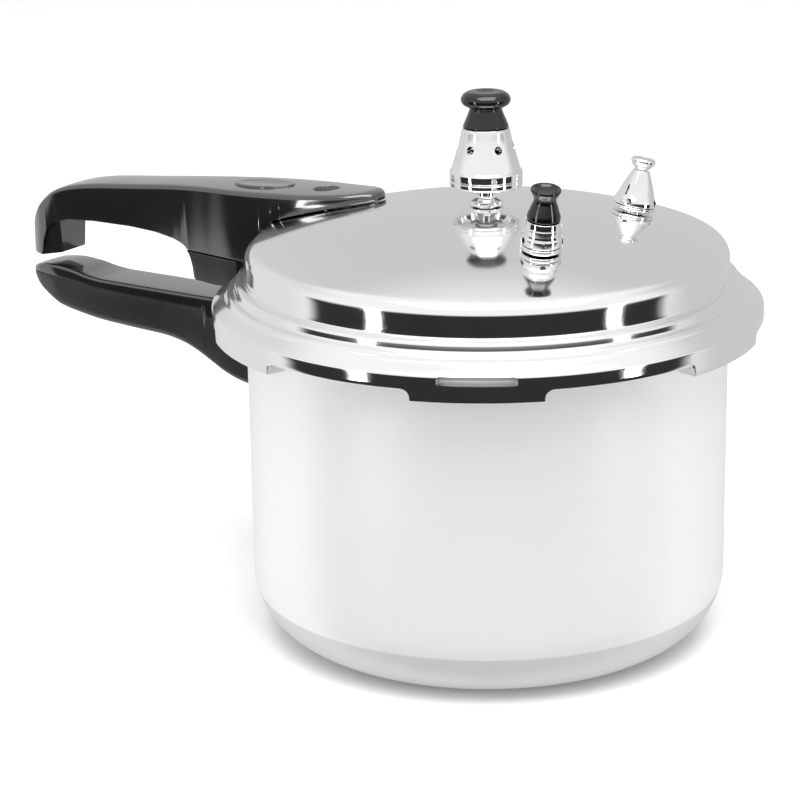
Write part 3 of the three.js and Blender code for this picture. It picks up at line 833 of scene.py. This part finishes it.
def safety_valve():
    base = turned("safety_base", [
        (1.8, -4), (1.8, -10), (4, -10, 0.4), (4, 0.7), (8.6, 0.7, 0.3), (9.1, 1.2, 0.3),
        (9.15, 2.2, 0.2), (8.9, 2.45, 0.1), (1.8, 2.45), (1.8, -4)], 96)
    add_piece(place_on(base, SAFETY), "lid", CHROME, "chrome", "safety_valve_base")
    bonnet = turned("safety_bonnet", [
        (5.2, 6), (5.2, 2.75), (8.9, 2.75, 0.1), (9.15, 3.0, 0.2), (9.05, 4.7, 0.4),
        (8.3, 6.1, 0.6), (7.7, 7.2, 0.8), (6.6, 10.6, 1.8), (4.9, 14.6, 1.8), (3.6, 17.6, 0.3),
        (1.8, 17.6), (1.8, 15.4), (5.2, 11.4), (5.2, 6)], 96)
    carve(bonnet, *vents(1.2, 4.9, 4, (3, 12), 10))
    add_piece(place_on(bonnet, SAFETY), "lid", CHROME, "chrome", "safety_valve_bonnet")
    stem = turned("safety_stem", [
        (0, 4.1), (4.5, 4.1, 0.3), (4.5, 5.2, 0.2), (1.4, 5.2, 0.2), (1.4, 18), (3.0, 18, 0.2),
        (3.3, 18.7, 0.4), (4.5, 19.8, 0.6), (5.2, 21, 0.6), (5.3, 22, 0.5), (4.7, 22.7, 0.5),
        (3.9, 22.9, 0.5), (2.6, 22.3, 0.6), (0, 22)], 96)
    add_piece(place_on(stem, SAFETY), "safety_plunger", CHROME, "chrome", "safety_valve_stem")
    valve_spring("safety_coil", SAFETY, 2.9, "safety_valve_spring")


def kept_nodes():
    """CAD nodes that stay as they are get their materials."""
    finish = {"steel": STEEL, "chrome": CHROME, "silicone": SILICONE, "handle_gloss": GLOSS,
              "handle_satin": SATIN, "handle_inlay": INLAY, "knob_gloss": KNOB,
              "pot_aluminium": POT_METAL, "lid_aluminium": LID_METAL}
    for entry in frame["record"]["subparts"]:
        node = frame["nodes"][entry["node"]]
        if not node.hide_render:
            for material_slot in node.material_slots:
                material_slot.material = finish[entry["material_slot"]]


# ---- studio ----
VIEW_TURN = 32.0  # degrees the camera stands round from looking along +Y
EYE = (589.8, -943.9, 449.3)
EYE_TURN = (72.62, 0.85, 33.67)  # degrees
LENS_MM = 121.8
SENSOR_MM = 36.0
LIGHT_AIM = 120.0  # height that the lights are aimed at


def camera():
    data = bpy.data.cameras.new("camera")
    data.lens = LENS_MM
    data.sensor_width = SENSOR_MM
    data.clip_end = 50
    eye = bpy.data.objects.new("camera", data)
    eye.location = Vector(EYE) * MM
    eye.rotation_euler = [math.radians(a) for a in EYE_TURN]
    bpy.context.scene.collection.objects.link(eye)
    bpy.context.scene.camera = eye


def floor():
    material = Nodes("floor_paper")
    grain = material.noise(material.place(), 30.0)
    material.join(material.ramp(grain, (0.3, 0.93), (0.7, 0.95)), material.shader.inputs["Base Color"])
    material.set(Roughness=0.7)
    half = 30000.0
    corners = [(-half, -half, 0), (half, -half, 0), (half, half, 0), (-half, half, 0)]
    plane = make_object("floor", corners, [(0, 1, 2, 3)])
    plane.data.materials.append(material.material)
    plane.visible_glossy = False


def area_light(name, turn, rise, distance, size, watts):
    """A soft box turn degrees round from the camera and rise degrees up, at a distance in metres."""
    data = bpy.data.lights.new(name, "AREA")
    data.shape = "RECTANGLE"
    data.size, data.size_y = size
    data.energy = watts
    lamp = bpy.data.objects.new(name, data)
    a, e = math.radians(VIEW_TURN + turn), math.radians(rise)
    back = Vector((math.sin(a) * math.cos(e), -math.cos(a) * math.cos(e), math.sin(e)))
    lamp.location = Vector((0, 0, LIGHT_AIM * MM)) + back * distance
    lamp.rotation_mode = "QUATERNION"
    lamp.rotation_quaternion = (-back).to_track_quat("-Z", "Y")
    bpy.context.scene.collection.objects.link(lamp)
    return lamp


def world():
    """A pale room, greyer behind and lighter to the left, and dark low down on the camera's side."""
    made = bpy.data.worlds.new("studio")
    bpy.context.scene.world = made
    made.use_nodes = True
    tree = made.node_tree
    out = tree.nodes["Background"]
    place = tree.nodes.new("ShaderNodeTexCoord")
    parts = tree.nodes.new("ShaderNodeSeparateXYZ")
    tree.links.new(place.outputs["Generated"], parts.inputs[0])

    def calc(operation, a, b):
        node = tree.nodes.new("ShaderNodeMath")
        node.operation = operation
        for socket, value in zip(node.inputs, (a, b)):
            if isinstance(value, (int, float)):
                socket.default_value = value
            else:
                tree.links.new(value, socket)
        return node.outputs[0]

    def ramp(value, low, high):
        node = tree.nodes.new("ShaderNodeMapRange")
        node.interpolation_type = "SMOOTHSTEP"
        node.inputs["From Min"].default_value = low
        node.inputs["From Max"].default_value = high
        tree.links.new(value, node.inputs["Value"])
        return node.outputs["Result"]

    turn = math.radians(VIEW_TURN)
    ahead = calc("ADD", calc("MULTIPLY", parts.outputs["X"], math.sin(turn)),
                 calc("MULTIPLY", parts.outputs["Y"], -math.cos(turn)))
    aside = calc("ADD", calc("MULTIPLY", parts.outputs["X"], math.cos(turn)),
                 calc("MULTIPLY", parts.outputs["Y"], math.sin(turn)))
    front = ramp(ahead, -0.06, 0.1)
    low = calc("SUBTRACT", 1.0, ramp(parts.outputs["Z"], -0.05, 0.2))
    dark = calc("MULTIPLY", front, low)
    beside_dark = calc("SUBTRACT", 1.0, calc("MULTIPLY", dark, 0.97))
    not_overhead = calc("SUBTRACT", 1.0, ramp(parts.outputs["Z"], 0.62, 0.85))
    behind = calc("MULTIPLY", ramp(calc("MULTIPLY", ahead, -1.0), -0.25, 0.35), not_overhead)
    left = ramp(calc("MULTIPLY", aside, -1.0), 0.1, 0.7)
    grey = calc("SUBTRACT", 0.38, calc("MULTIPLY", left, 0.16))
    strength = calc("MULTIPLY", beside_dark, calc("SUBTRACT", 1.0, calc("MULTIPLY", behind, grey)))
    out.inputs["Color"].default_value = (1, 1, 1, 1)
    tree.links.new(strength, out.inputs["Strength"])


def studio():
    camera()
    floor()
    area_light("key_above", turn=10, rise=72, distance=1.6, size=(1.6, 1.2), watts=27)
    area_light("strip_left", turn=-52, rise=-2, distance=1.7, size=(0.16, 0.9), watts=5)
    area_light("strip_right", turn=59, rise=-2, distance=1.7, size=(0.16, 0.9), watts=5)
    fill = area_light("front_fill", turn=-8, rise=12, distance=2.2, size=(1.8, 1.2), watts=7)
    fill.visible_glossy = False
    world()
    bpy.context.scene.view_settings.view_transform = "Standard"


pot()
lid()
gasket()
lid_handle()
pot_handle()
vent_and_weight()
relief_valve()
safety_valve()
kept_nodes()
studio()
